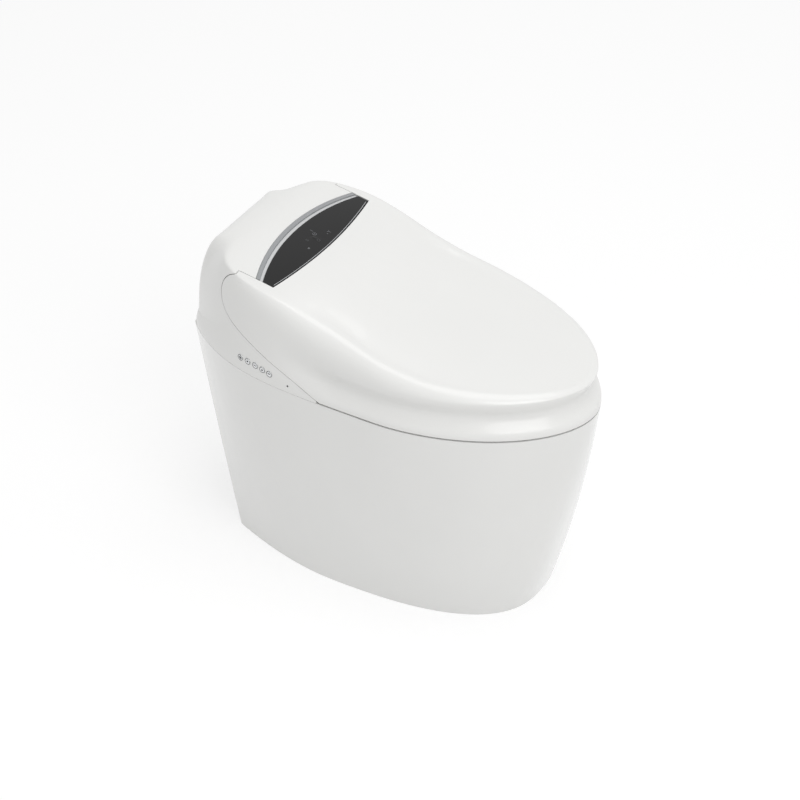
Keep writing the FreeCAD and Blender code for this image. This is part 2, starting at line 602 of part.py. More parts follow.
def panel_trim():
    half = EAR_X - SEAM_GAP - FIT
    middle = [(a + b) / 2 for a, b in zip(GLASS_REAR, TRIM_REAR)]
    bottom = crown(POCKET_DEPTH)
    ledge = crown(0.2).common(band(middle, TRIM_REAR, half, 400, FAR))
    riser = crown(2.2).common(band(shifted(GLASS_REAR, FIT), middle, half, 400, FAR))
    return ledge.fuse(riser).cut(bottom).removeSplitter()


def push_button(at, out):
    cap = rod(BUTTON_R, at - out * BUTTON_DEPTH, at + out * BUTTON_PROUD)
    rim = [e for e in cap.Edges if (e.BoundBox.Center - at - out * BUTTON_PROUD).Length < 0.1]
    cap = cap.makeFillet(0.5, rim)
    collar = rod(BUTTON_R + 0.9, at - out * (BUTTON_DEPTH - 0.5), at - out * (BUTTON_DEPTH - 2.5))
    return cap.fuse([collar, rod(1.8, at - out * (BUTTON_DEPTH + 2), at - out * (BUTTON_DEPTH - 1))])


# ---- seat -------------------------------------------------------------------------------------------------------
def seat_slab(z0, z1, edge, wall):
    """Slab in the seat's outline at an inset, with its opening, drawn in by a wall."""
    slab = Part.Face(outline_wire(shrunk(RIM, edge), z0)).extrude(Vec(0, 0, z1 - z0))
    return seat_cut(slab, z0, z1, wall)


def seat_cut(solid, z0, z1, wall):
    solid = solid.common(block(-FAR, FAR, -FAR, SEAT_REAR_Y - wall, 0, FAR))
    hole = Part.Face(oval_wire(SEAT_HOLE_FRONT_Y - wall, SEAT_HOLE_REAR_Y + wall, SEAT_HOLE_HALF + wall, z0 - 1))
    return solid.cut(hole.extrude(Vec(0, 0, z1 - z0 + 2)))


def seat_pocket():
    return block(-SEAT_POCKET_X, SEAT_POCKET_X, SEAT_POCKET_Y, SEAT_REAR_Y + 5, 0, SEAT_POCKET_Z)


def seat_top():
    dome = Part.makeLoft([outline_wire(shrunk(RIM, inset), z) for inset, z in SEAT_EDGE], True, False)
    slab = seat_cut(dome, SEAT_JOINT_Z, SEAT_TOP_Z, 0)
    inner = [e for e in slab.Edges if e.BoundBox.ZMin > SEAT_TOP_Z - 0.1 and e.BoundBox.YMax < SEAT_REAR_Y - 5
             and e.BoundBox.XMax < SEAT_HOLE_HALF + 1]
    slab = slab.makeFillet(8.0, inner)
    y, z = SEAT_HINGE
    lug = block(LUG_X, LUG_X + LUG_WIDTH, SEAT_REAR_Y - 4, y, SEAT_JOINT_Z, z + 7)
    lug = lug.fuse(rod(LUG_R, (LUG_X, y, z), (LUG_X + LUG_WIDTH, y, z)))
    bore = rod(SEAT_PIN_R + RUNNING, (LUG_X - 1, y, z), (LUG_X + LUG_WIDTH + 1, y, z))
    cavity = seat_slab(SEAT_JOINT_Z - 1, SEAT_CAVITY_Z, SEAT_CAVITY_INSET, SEAT_WALL + 1)
    return slab.cut(cavity).fuse(both_sides(lug)).cut(both_sides(bore))


def seat_base():
    tray = seat_slab(SEAT_BOTTOM_Z, SEAT_JOINT_Z, SEAT_INSET, 0)
    cavity = seat_slab(SEAT_BOTTOM_Z + SEAT_WALL, SEAT_JOINT_Z + 1, SEAT_INSET + SEAT_WALL + 1, SEAT_WALL + 1)
    w = SEAT_POCKET_X + SEAT_WALL
    roof = block(-w, w, SEAT_POCKET_Y - SEAT_WALL, FAR, 0, FAR)
    return tray.cut(cavity.cut(roof)).cut(seat_pocket())


def seat_heater():
    return seat_slab(SEAT_CAVITY_Z - 0.8, SEAT_CAVITY_Z, SEAT_CAVITY_INSET + 2, SEAT_WALL + 3)


def seat_bumpers():
    feet = []
    for x, y in ((152, -60), (70, -284)):
        feet += both_sides(rod(6.0, (x, y, RIM_Z + 0.8), (x, y, SEAT_BOTTOM_Z)))
    return Part.makeCompound(feet)


def seat_hinge_pins():
    y, z = SEAT_HINGE
    return Part.makeCompound(both_sides(rod(SEAT_PIN_R, (SEAT_POST[0], y, z), (LUG_X + LUG_WIDTH + 2, y, z))))


def seat_damper():
    y, z = SEAT_HINGE
    return rod(8.3, (-SEAT_POST[0], y, z), (-SEAT_POST[0] + 26, y, z))


# ---- chassis ----------------------------------------------------------------------------------------------------
def chassis_plate():
    slab = Part.Face(outline_wire(shrunk(RIM, PLATE_INSET), RIM_Z)).extrude(Vec(0, 0, PLATE_THICK))
    main = slab.common(block(-FAR, FAR, PLATE_FRONT_Y, FAR, 0, FAR))
    nose = block(-PLATE_NOSE_X, PLATE_NOSE_X, PLATE_NOSE_FRONT_Y, PLATE_FRONT_Y + 1, RIM_Z, PLATE_Z)
    sy, sz = SEAT_HINGE
    post = block(SEAT_POST[0], SEAT_POST[1], SEAT_POST[2], SEAT_POST[3], PLATE_Z - 1, sz + 8)
    stand = block(50, 70, RIM.rear_y - 16, RIM.rear_y - 5.4, PLATE_Z - 1, 406)
    stand = stand.cut(block(0, FAR, RIM.rear_y - PLATE_INSET, FAR, 0, PLATE_Z))
    whole = fused([main, nose] + both_sides(post) + both_sides(stand))
    x, y = FLUSH_VALVE_AT
    tools = [rod(FLUSH_R + 0.5, (x, y, 380), (x, y, 400)),
             rod(NECK_R, (*INLET_AT, 380), (*INLET_AT, 400)),
             rod(8.0, (*GLAND_AT, 380), (*GLAND_AT, 400))]
    tools += both_sides(rod(SEAT_PIN_R, (SEAT_POST[0] - 1, sy, sz), (SEAT_POST[1] + 1, sy, sz)))
    for bolt_y in DECK_BOLT_Y:
        tools += both_sides(rod(DECK_BOLT_R, (DECK_BOLT_X, bolt_y, 380), (DECK_BOLT_X, bolt_y, 400)))
    tools += both_sides(rod(2.0, (60, RIM.rear_y, 401), (60, RIM.rear_y - 14, 401)))
    return whole.cut(tools)


def hexagon(across, x, y, z0, z1):
    corner_r = across / math.sqrt(3)
    points = [Vec(x + corner_r * math.cos(math.pi * k / 3), y + corner_r * math.sin(math.pi * k / 3), z0)
              for k in range(7)]
    return Part.Face(Part.makePolygon(points)).extrude(Vec(0, 0, z1 - z0))


def deck_bolts():
    bolts = []
    for y in DECK_BOLT_Y:
        shank = rod(DECK_BOLT_R, (DECK_BOLT_X, y, RIM_Z - RIM_SLAB - 16), (DECK_BOLT_X, y, PLATE_Z))
        bolts += both_sides(shank.fuse(hexagon(13.0, DECK_BOLT_X, y, PLATE_Z, PLATE_Z + 5.3)).removeSplitter())
    return Part.makeCompound(bolts)


def deck_nuts():
    nuts = []
    under = RIM_Z - RIM_SLAB
    for y in DECK_BOLT_Y:
        nut = hexagon(13.0, DECK_BOLT_X, y, under - 6.5, under)
        nuts += both_sides(nut.cut(rod(DECK_BOLT_R, (DECK_BOLT_X, y, under - 8), (DECK_BOLT_X, y, under + 1))))
    return Part.makeCompound(nuts)


def lid_hinge_towers():
    y, z = LID_HINGE
    x0, x1, y0, y1 = TOWER
    tower = block(x0, x1, y0, y1, PLATE_Z, z).fuse(rod(TOWER_BOSS_R, (x0, y, z), (x1, y, z)))
    core = block(x0 + 4, x1 - 4, y0 + 4, y1 - 4, PLATE_Z + 4, z - 16)
    bore = rod(LID_STUB_R + RUNNING, (x0 - 1, y, z), (x1 + 1, y, z))
    return Part.makeCompound(both_sides(tower.removeSplitter().cut([core, bore])))


def lid_drive():
    y, z = LID_HINGE
    case = rounded_slab(64, TOWER[0], y - 17, y + 15, z - 44, z + 5.9, 4.0)
    return case.cut(rod(LID_STUB_R + RUNNING, (LID_STUB_IN_X - 0.6, y, z), (TOWER[0] + 1, y, z)))


# ---- electronics ------------------------------------------------------------------------------------------------
def display_board():
    board = block(-58, 58, 158, 184, 539.0, 540.6)
    legs = [rod(2.5, (x, 171, 540.6), (x, 171, FAR)) for x in (-45, 45)]
    roof = crown(POCKET_DEPTH + POCKET_FLOOR)
    return board.fuse([leg.common(roof) for leg in legs])


def button_board(at_buttons):
    """Flat board behind the row of buttons, on two feet."""
    first, last = at_buttons[0][0], at_buttons[-1][0]
    run = first - last
    across = Vec(-run.y, run.x, 0).normalize()
    if across.x > 0:
        across = across * -1
    length = math.hypot(run.x, run.y) + 24
    board = block(-length / 2, length / 2, 0, 1.6, PLATE_Z, 424)
    board.rotate(Vec(0, 0, 0), Z_AXIS, math.degrees(math.atan2(run.y, run.x)))
    middle = (first + last) * 0.5 - across * 17
    board.translate(Vec(middle.x, middle.y, 0))
    return board


def power_supply():
    return rounded_slab(-126, -92, 226, 282, PLATE_Z, 440, 3.0)


def control_board():
    board = block(-126, -92, 226, 282, 446, 447.6)
    legs = [rod(2.0, (x, y, 440), (x, y, 446.5)) for x in (-121, -97) for y in (231, 277)]
    chips = [block(-116, -102, 234, 248, 447.6, 450.0), block(-118, -104, 258, 272, 447.6, 456.0)]
    return fused([board] + legs + chips)


# ---- water ------------------------------------------------------------------------------------------------------
def water_inlet():
    x, y = INLET_AT
    body = rod(THREAD_R, (x, y, 350), (x, y, THREAD_TOP_Z)).fuse(rod(NECK_R, (x, y, THREAD_TOP_Z), (x, y, PLATE_Z)))
    top = hexagon(26.0, x, y, PLATE_Z, PLATE_Z + 10)
    return body.fuse(top).removeSplitter().cut(rod(7.0, (x, y, 349), (x, y, PLATE_Z + 11)))


def power_gland():
    x, y = GLAND_AT
    body = rod(8.0, (x, y, 366), (x, y, PLATE_Z)).fuse(hexagon(22.0, x, y, PLATE_Z, PLATE_Z + 6))
    return body.removeSplitter().cut(rod(4.0, (x, y, 365), (x, y, PLATE_Z + 7)))


def inlet_valve():
    x, y = INLET_AT
    z = PLATE_Z + 10
    body = block(x - 14, x + 14, y - 14, y + 14, z, z + 26)
    return body.fuse(rod(11.0, (x, y, z + 26), (x, y, z + 50))).removeSplitter()


def flow_heater():
    tank = rod(19.0, (112, 230, 414), (112, 288, 414))
    feet = block(102, 122, 238, 280, PLATE_Z, 400)
    return tank.fuse(feet).removeSplitter()


def flush_valve():
    x, y = FLUSH_VALVE_AT
    body = rod(24.0, (x, y, PLATE_Z), (x, y, 428)).fuse(rod(17.0, (x, y, 428), (x, y, 440)))
    return body.removeSplitter().cut(rod(FLUSH_R - 2, (x, y, 380), (x, y, 420)))


def flush_pipe():
    x, y = FLUSH_VALVE_AT
    return hose(((x, y, PLATE_Z), (x, y, FLUSH_Z), (x, SPUD_END_Y - 20, FLUSH_Z)), 30.0, FLUSH_R, FLUSH_R - 2)


def inlet_hose():
    x, y = INLET_AT
    points = ((x + 14, y, 414), (x + 36, y, 414), (x + 36, 311.5, 414), (112, 311.5, 414), (112, 288, 414))
    return hose(points, 9.0, 5.0, 3.5)


def heater_hose():
    return hose(((112, 252, 433), (112, 252, 478), (64, 296, 478), (26, 296, 478)), 14.0, 4.5, 3.0)


# ---- wands ------------------------------------------------------------------------------------------------------
def on_slope(shape):
    """Turn a shape built along +Y, with the wands' tips at its origin, onto the wands' slope."""
    turned = shape.copy()
    turned.rotate(Vec(0, 0, 0), X_AXIS, WAND_TILT)
    turned.translate(Vec(0, *WAND_TIP))
    return turned


def rack(side):
    """Toothed bar beside a wand, with a gap between teeth where the pinion stands at rest."""
    pitch = math.pi * MODULE
    half, lean = pitch / 4 - BACKLASH, math.tan(math.radians(20))
    root, tip = RACK_LINE - 1.3 * MODULE, RACK_LINE + 0.9 * MODULE
    points = [(WAND_R - 3, RACK_START), (root, RACK_START)]
    centre = PINION_AT - pitch / 2
    while centre - pitch > RACK_START:
        centre -= pitch
    while centre + pitch / 2 < RACK_END:
        wide, narrow = half + lean * (RACK_LINE - root), half - lean * (tip - RACK_LINE)
        points += [(root, centre - wide), (tip, centre - narrow), (tip, centre + narrow), (root, centre + wide)]
        centre += pitch
    points += [(root, RACK_END), (WAND_R - 3, RACK_END)]
    wire = Part.makePolygon([Vec(side * (WAND_X + a), s, -2) for a, s in points + points[:1]])
    return Part.Face(wire).extrude(Vec(0, 0, 4))


def wand(side):
    x = side * WAND_X
    body = rod(WAND_R, (x, TIP_LENGTH, 0), (x, WAND_LENGTH, 0)).fuse(rack(side))
    return on_slope(body.cut(rod(WAND_BORE, (x, TIP_LENGTH - 1, 0), (x, WAND_LENGTH + 1, 0))))


def wand_tip(side):
    x = side * WAND_X
    nose = Part.makeSphere(WAND_R, Vec(x, WAND_R, 0)).fuse(rod(WAND_R, (x, WAND_R, 0), (x, TIP_LENGTH, 0)))
    holes = [rod(0.8, (x + dx, 9, 0), (x + dx, 9, WAND_R + 1)) for dx in (-2.2, 0, 2.2)]
    flat = block(x - 5, x + 5, 5, 14, WAND_R - 0.8, WAND_R + 1)
    feed = rod(WAND_BORE - 0.8, (x, 8, 0), (x, TIP_LENGTH + 1, 0))
    return on_slope(nose.removeSplitter().cut([flat, feed] + holes))


def feed_tubes():
    """Fixed tubes that the hollow wands slide over."""
    tubes = []
    for side in (-1, 1):
        x = side * WAND_X
        pipe = rod(2.6, (x, 90, 0), (x, WAND_LENGTH + 12, 0)).cut(rod(1.6, (x, 89, 0), (x, WAND_LENGTH + 13, 0)))
        tubes.append(on_slope(pipe))
    return Part.makeCompound(tubes)


def diverter_valve():
    body = on_slope(rounded_slab(-26, 26, WAND_LENGTH + 12, WAND_LENGTH + 36, -10, 12, 3.0))
    leg = block(-16, 16, 296, 305, PLATE_Z, 466).cut(body)
    return body.fuse(leg)


def pinion_centre(side):
    return side * (WAND_X + RACK_LINE + MODULE * PINION_TEETH / 2 + 0.1), PINION_AT


def pinion(side):
    x, s = pinion_centre(side)
    pitch_r = MODULE * PINION_TEETH / 2
    half = math.pi * MODULE / 4 - BACKLASH
    points = []
    for k in range(PINION_TEETH):
        a = math.pi / 2 * (1 + side) + 2 * math.pi * k / PINION_TEETH
        for r, w in ((pitch_r - 1.3, half + 0.35), (pitch_r, half), (pitch_r + 0.85, half - 0.3)):
            points.append((r, a - w / r))
        for r, w in ((pitch_r + 0.85, half - 0.3), (pitch_r, half), (pitch_r - 1.3, half + 0.35)):
            points.append((r, a + w / r))
    points.append(points[0])
    wire = Part.makePolygon([Vec(x + r * math.cos(a), s + r * math.sin(a), -2.5) for r, a in points])
    gear = Part.Face(wire).extrude(Vec(0, 0, 5)).fuse(rod(4.0, (x, s, 2), (x, s, 6)))
    return on_slope(gear.cut(rod(1.5 + RUNNING, (x, s, -3), (x, s, 7))))


def wand_motor(side):
    x, s = pinion_centre(side)
    return on_slope(rod(12.0, (x, s, 10), (x, s, 28)).fuse(rod(1.5, (x, s, -2.5), (x, s, 10))).removeSplitter())


def wand_cradle():
    bed = block(-26, 26, 8, 172, -12, -3.2)
    for side in (-1, 1):
        bed = bed.cut(rod(WAND_R + 0.4, (side * WAND_X, 0, 0), (side * WAND_X, 180, 0)))
    bridge = block(-44, 44, 108, 140, 7, 10)
    holes = [rod(4.5, (*pinion_centre(side), 6), (*pinion_centre(side), 11)) for side in (-1, 1)]
    legs = both_sides(block(40, 44, 140, 160, PLATE_Z, 460)) + [block(-18, 18, 130, 185, PLATE_Z, 460)]
    sill = block(-44, 44, 140, 160, PLATE_Z, PLATE_Z + 3)
    above = on_slope(block(-60, 60, -50, 300, -11, 200))
    over = on_slope(block(-60, 60, -50, 300, 8, 200))
    legs = [legs[0].cut(over), legs[1].cut(over), legs[2].cut(above)]
    return fused([on_slope(bed), on_slope(bridge.cut(holes)), sill] + legs)


def wand_port():
    frame = block(-25, 25, NOSE_FRONT_Y + 0.3, NOSE_FRONT_Y + 4, RIM_Z + 1, 409)
    holes = [on_slope(rod(WAND_R + 0.6, (side * WAND_X, -20, 0), (side * WAND_X, 20, 0))) for side in (-1, 1)]
    return frame.cut(holes)


# ---- air --------------------------------------------------------------------------------------------------------
def fan_wheel(x, y, z0, z1, hub, rim):
    """Blade wheel round a shaft along Z."""
    disc = rod(rim, (x, y, z0), (x, y, z0 + 1.5)).fuse(rod(hub, (x, y, z0), (x, y, z1)))
    blades = []
    for k in range(12):
        blade = block(x + rim * 0.62, x + rim - 0.2, y - 0.6, y + 0.6, z0 + 0.5, z1)
        blade.rotate(Vec(x, y, z0), Z_AXIS, 30 * k)
        blades.append(blade)
    return fused([disc] + blades)


def along_x(shape):
    """Turn a shape built along +Z at the origin so that it runs along +X."""
    turned = shape.copy()
    turned.rotate(Vec(0, 0, 0), Y_AXIS, 90)
    return turned


def dryer_scroll():
    y, z = DRYER_AT
    x0, x1 = DRYER_X
    duct = block(FLAP_X[0], FLAP_X[1], NOSE_FRONT_Y + SHELL + 0.4, y, PLATE_Z + 0.8, 408)
    air = block(FLAP_X[0] + 1.5, FLAP_X[1] - 1.5, 0, y, PLATE_Z + 2.3, 406.5)
    foot = block(x0, x1, y - 20, y + 20, PLATE_Z, z - 20)
    body = fused([rod(DRYER_R, (x0, y, z), (x1, y, z)), duct, foot])
    shaft = rod(2.0, (x0 + 2, y, z), (x1 - 6, y, z))
    room = rod(DRYER_R - 2.5, (x0 + 2.5, y, z), (x1 - 2.5, y, z)).cut(shaft)
    inlet = rod(14.0, (x1 - 4, y, z), (x1 + 1, y, z))
    return body.cut([room, inlet, air.cut(room)])


def dryer_impeller():
    y, z = DRYER_AT
    wheel = along_x(fan_wheel(0, 0, 0, 16, 6.0, DRYER_R - 6))
    wheel.translate(Vec(DRYER_X[0] + 4.5, y, z))
    return wheel.cut(rod(2.0 + RUNNING, (DRYER_X[0], y, z), (DRYER_X[1], y, z)))


def dryer_flap():
    y, z = FLAP_HINGE
    x0, x1 = FLAP_X
    leaf = block(x0 - 0.5, x1 + 0.5, y - FLAP_THICK / 2, y + FLAP_THICK / 2, z - FLAP_HEIGHT, z + 0.6)
    return leaf.fuse(rod(1.0, (x0 - 2.5, y, z), (x1 + 2.5, y, z))).removeSplitter()


def deodoriser_case():
    x, y = DEODORISER_AT
    x0, y0, y1, z0, z1 = CARTRIDGE
    wide = 2.4
    drum = rod(DEODORISER_R, (x, y, PLATE_Z), (x, y, 424))
    sleeve = block(x, x0 + 26, y0 - wide, y1 + wide, z0 - wide, z1 + wide)
    body = fused([drum, sleeve])
    slot = block(x0 - 3, FAR, y0 - 0.4, y1 + 0.4, z0 - 0.4, z1 + 0.4)
    shaft = rod(1.5, (x, y, PLATE_Z), (x, y, 418))
    room = rod(DEODORISER_R - 2, (x, y, PLATE_Z + 2), (x, y, 422)).cut(shaft)
    air = block(x, x0 + 1, y0 + 4, y1 - 4, z0 + 2, z1 - 2).cut(room)
    outlet = rod(8.0, (x, y, 420), (x, y, 426))
    return body.cut([slot, room, air, outlet])


def deodoriser_fan():
    x, y = DEODORISER_AT
    wheel = fan_wheel(x, y, PLATE_Z + 5, PLATE_Z + 19, 5.0, DEODORISER_R - 4)
    return wheel.cut(rod(1.5 + RUNNING, (x, y, PLATE_Z), (x, y, 425)))


def carbon_cartridge(outer):
    x0, y0, y1, z0, z1 = CARTRIDGE
    return outer.common(block(x0, FAR, y0, y1, z0, z1))


# ---- everything -------------------------------------------------------------------------------------------------
def main():
    os.makedirs("parts", exist_ok=True)
    outer, inner = crown(0), crown(SHELL)
    at_buttons = [side_frame(y, z, outer) for _, y, z in BUTTONS]
    at_led = side_frame(LED_Y, LED_Z, outer)
    save("ceramic_pedestal", ceramic_pedestal())
    save("outlet_seal", outlet_seal())
    save("lid_shell", lid_shell(outer, inner))
    save("lid_liner", lid_liner(inner))
    save("lid_bumpers", lid_bumpers(inner))
    save("lid_hinge_stubs", lid_hinge_stubs())
    save("rear_housing", rear_housing(outer, inner, at_buttons, at_led))
    save("housing_screws", housing_screws())
    save("display_glass", display_glass())
    save("panel_trim", panel_trim())
    for (node, _, _), (at, out) in zip(BUTTONS, at_buttons):
        save(node, push_button(at, out))
        print("  out", [round(v, 5) for v in out])
    at, out = at_led
    save("status_led_lens", rod(LED_R, at - out * 4, at + out * 0.3))
    for piece in (seat_top, seat_base, seat_heater, seat_bumpers, seat_hinge_pins, seat_damper, chassis_plate,
                  deck_bolts, deck_nuts, lid_hinge_towers, lid_drive, display_board, power_supply, control_board,
                  water_inlet, power_gland, inlet_valve, flow_heater, flush_valve, flush_pipe, inlet_hose,
                  heater_hose, feed_tubes, diverter_valve, wand_cradle, wand_port, dryer_scroll, dryer_impeller,
                  dryer_flap, deodoriser_case, deodoriser_fan):
        save(piece.__name__, piece())
    save("button_board", button_board(at_buttons))
    save("carbon_cartridge", carbon_cartridge(outer))
    for name, side in (("wash", -1), ("front", 1)):
        save(name + "_wand", wand(side))
        save(name + "_tip", wand_tip(side))
        save(name + "_pinion", pinion(side))
        save(name + "_motor", wand_motor(side))


main()
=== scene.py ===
# %% [markdown]
# # A smart toilet with a heated seat
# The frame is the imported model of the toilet: ceramic pan, lid, housing, seat and the works inside, each as its own
# object in metres. Blender adds what the solids don't carry: the finishes, the edge of the display window, the marks on
# it and on the buttons, the room and the camera. Nothing of the frame is moved.

# %% Load the frame
import json
import math
import bmesh
import bpy
from mathutils import Matrix, Vector
from mathutils.bvhtree import BVHTree


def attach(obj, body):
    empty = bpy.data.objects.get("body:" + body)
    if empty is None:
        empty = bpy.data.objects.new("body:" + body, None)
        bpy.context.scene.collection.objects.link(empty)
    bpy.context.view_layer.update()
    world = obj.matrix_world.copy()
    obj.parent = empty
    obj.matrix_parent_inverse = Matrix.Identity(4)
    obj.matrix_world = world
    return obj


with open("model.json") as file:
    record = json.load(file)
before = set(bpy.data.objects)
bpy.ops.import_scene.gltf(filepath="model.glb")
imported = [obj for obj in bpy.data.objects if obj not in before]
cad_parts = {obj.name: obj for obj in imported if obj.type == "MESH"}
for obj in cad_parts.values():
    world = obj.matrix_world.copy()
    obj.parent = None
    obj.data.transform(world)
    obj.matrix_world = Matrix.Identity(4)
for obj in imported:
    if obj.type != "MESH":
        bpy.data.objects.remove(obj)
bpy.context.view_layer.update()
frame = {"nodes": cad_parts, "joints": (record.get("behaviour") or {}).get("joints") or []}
nodes = frame["nodes"]
MM = 0.001

# %% [markdown]
# ## The camera
# The photograph looks down on the toilet from its front left. Its viewing angle was found by fitting the outlines of
# the rim, the foot and the lid. The camera is placed by its three axes: where right, up and back point in the room.

# %% Camera
AZIMUTH, ELEVATION = math.radians(-59.6), math.radians(36.9)
CAMERA_PLACE = Vector((-3.0833, -1.7986, 2.9707))
TOILET_MIDDLE = Vector((0, 0, 0.23))
LENS_MM, SENSOR_MM = 122.03, 36

back = Vector((math.sin(AZIMUTH) * math.cos(ELEVATION), -math.cos(AZIMUTH) * math.cos(ELEVATION),
               math.sin(ELEVATION)))
right = Vector((math.cos(AZIMUTH), math.sin(AZIMUTH), 0))
up = back.cross(right)
camera_data = bpy.data.cameras.new("camera")
camera_data.lens = LENS_MM
camera_data.sensor_width = SENSOR_MM
camera = bpy.data.objects.new("camera", camera_data)
axes = Matrix((right, up, back)).transposed().to_4x4()
camera.matrix_world = Matrix.Translation(CAMERA_PLACE) @ axes
bpy.context.scene.collection.objects.link(camera)
bpy.context.scene.camera = camera
print("camera", round((CAMERA_PLACE - TOILET_MIDDLE).length, 2), "m from the toilet")

# %% [markdown]
# ## Colours and nodes
# Colours are written as on a paint card, in sRGB hex. Shaders work in linear light, so one function turns a hex value
# into linear numbers, and one small function adds a shader node with its settings and its links.


# %% Colour and node helpers
def linear(hex_code):
    """Linear RGBA from an sRGB hex value such as F4F4F2."""
    values = [int(hex_code[i:i + 2], 16) / 255 for i in (0, 2, 4)]
    return [v / 12.92 if v <= 0.04045 else ((v + 0.055) / 1.055) ** 2.4 for v in values] + [1.0]


def add_node(tree, kind, links=(), **values):
    """Add a node; values set its sockets or its settings by name, links join its inputs to other nodes' outputs."""
    node = tree.nodes.new(kind)
    for name, value in values.items():
        socket = node.inputs.get(name.replace("_", " "))
        if socket is not None:
            socket.default_value = value
        else:
            setattr(node, name, value)
    for socket, output in links:
        tree.links.new(output, node.inputs[socket])
    return node


def new_material(name):
    """An empty material with its surface shader: returns the material, its tree and the shader."""
    material = bpy.data.materials.new(name)
    material.use_nodes = True
    tree = material.node_tree
    tree.nodes.clear()
    shader = add_node(tree, "ShaderNodeBsdfPrincipled")
    add_node(tree, "ShaderNodeOutputMaterial", links=[("Surface", shader.outputs["BSDF"])])
    return material, tree, shader


COAT_ROUGHNESS = 0.05


def finish(name, hex_code, roughness, metallic=0.0, coat=0.0, ior=1.5):
    """A moulded, glazed or metal finish before its grain: colour, shine and clear coat."""
    material, _, shader = new_material(name)
    shader.inputs["Base Color"].default_value = linear(hex_code)
    shader.inputs["Roughness"].default_value = roughness
    shader.inputs["Metallic"].default_value = metallic
    shader.inputs["Coat Weight"].default_value = coat
    shader.inputs["Coat Roughness"].default_value = COAT_ROUGHNESS
    shader.inputs["IOR"].default_value = ior
    return material


# %% [markdown]
# ## Grain, drift and haze
# No surface is one flat tone. Three helpers read the same noise, whose spots have a real size in millimetres: relief
# raises a grain, drift lets the colour wander between two close tones, and haze does so with the roughness.

# %% Pattern helpers
NOISE_DETAIL = 2.0
NOISE_LOW, NOISE_HIGH = 0.3, 0.7      # nearly all values of the noise lie between these


def pattern(tree, size_mm, stretch):
    """Noise whose spots are about that large, and smaller along an axis where stretch is above 1."""
    place = add_node(tree, "ShaderNodeTexCoord")
    scaled = add_node(tree, "ShaderNodeMapping", Scale=stretch, links=[("Vector", place.outputs["Object"])])
    return add_node(tree, "ShaderNodeTexNoise", Scale=1 / (size_mm * MM), Detail=NOISE_DETAIL,
                    links=[("Vector", scaled.outputs["Vector"])]).outputs["Fac"]


def relief(material, size_mm, depth_mm, stretch=(1, 1, 1)):
    """Raise a grain of that size and depth on a surface and on its clear coat."""
    tree = material.node_tree
    shader = tree.nodes["Principled BSDF"]
    bump = add_node(tree, "ShaderNodeBump", Distance=depth_mm * MM,
                    links=[("Height", pattern(tree, size_mm, stretch))])
    tree.links.new(bump.outputs["Normal"], shader.inputs["Normal"])
    tree.links.new(bump.outputs["Normal"], shader.inputs["Coat Normal"])


def drift(material, low_hex, high_hex, size_mm, stretch=(1, 1, 1)):
    """Let the colour drift between two close tones over that distance."""
    tree = material.node_tree
    ramp = add_node(tree, "ShaderNodeValToRGB", links=[("Fac", pattern(tree, size_mm, stretch))])
    for element, place, hex_code in zip(ramp.color_ramp.elements, (NOISE_LOW, NOISE_HIGH), (low_hex, high_hex)):
        element.position = place
        element.color = linear(hex_code)
    tree.links.new(ramp.outputs["Color"], tree.nodes["Principled BSDF"].inputs["Base Color"])


def haze(material, shiny, dull, size_mm, stretch=(1, 1, 1)):
    """Let the roughness drift between two values, as wiping and handling leave it."""
    tree = material.node_tree
    level = add_node(tree, "ShaderNodeMapRange", From_Min=NOISE_LOW, From_Max=NOISE_HIGH, To_Min=shiny, To_Max=dull,
                     links=[("Value", pattern(tree, size_mm, stretch))])
    tree.links.new(level.outputs["Result"], tree.nodes["Principled BSDF"].inputs["Roughness"])


def dress(material, *names):
    """Give a finish to nodes of the frame."""
    for name in names:
        mesh = nodes[name].data
        mesh.materials.clear()
        mesh.materials.append(material)
    print(material.name, "on", len(names), "nodes")


# %% [markdown]
# ## Glazed china
# The pan is vitreous china, slip-cast, sprayed with a white glaze and fired. The glaze melts into a layer of glass over
# a white body: a sharp reflection over a soft white. A clear coat over a rougher base gives both layers. The melt never
# levels fully, so the glaze rolls two hundredths of a millimetre over 40 mm, which makes its highlights swim.

# %% Glazed china
glazed_china = finish("glazed_china", "F3F3F1", roughness=0.25, coat=0.8, ior=1.52)
drift(glazed_china, "F2F2F0", "F4F4F2", size_mm=140)
relief(glazed_china, size_mm=40, depth_mm=0.02)
dress(glazed_china, "ceramic_pedestal")

# %% [markdown]
# ## Moulded lid, housing and seat
# They are injection-moulded ABS from a polished tool: nearly as glossy as the glaze, but with a shorter and far
# shallower wave where the wall has shrunk, and a faint haze from wiping. The shine is in the base here, with only a
# thin coat.

# %% Gloss ABS
gloss_abs = finish("gloss_abs", "F5F5F3", roughness=0.28, coat=0.35, ior=1.53)
drift(gloss_abs, "F4F4F2", "F6F6F4", size_mm=180)
haze(gloss_abs, shiny=0.275, dull=0.29, size_mm=200)
relief(gloss_abs, size_mm=30, depth_mm=0.002)
dress(gloss_abs, "lid_shell", "rear_housing", "seat_top", "wand_port", "dryer_flap", "carbon_cartridge")

# %% [markdown]
# ## Satin plastics
# The lid's liner is ABS, and the seat's underside, the tray, the flush pipe and the wands' guide are polypropylene.
# All come from spark-eroded tools, whose grain is about 0.4 mm. That is too fine to show from here, so it is drawn at
# 1.5 mm. Wands, pinions and water tubes are acetal, which is creamier and smoother. Towers, valves and cases inside are
# grey ABS, and the lid's drive, the damper, the cable gland and the fans are black ABS, with the same grain.

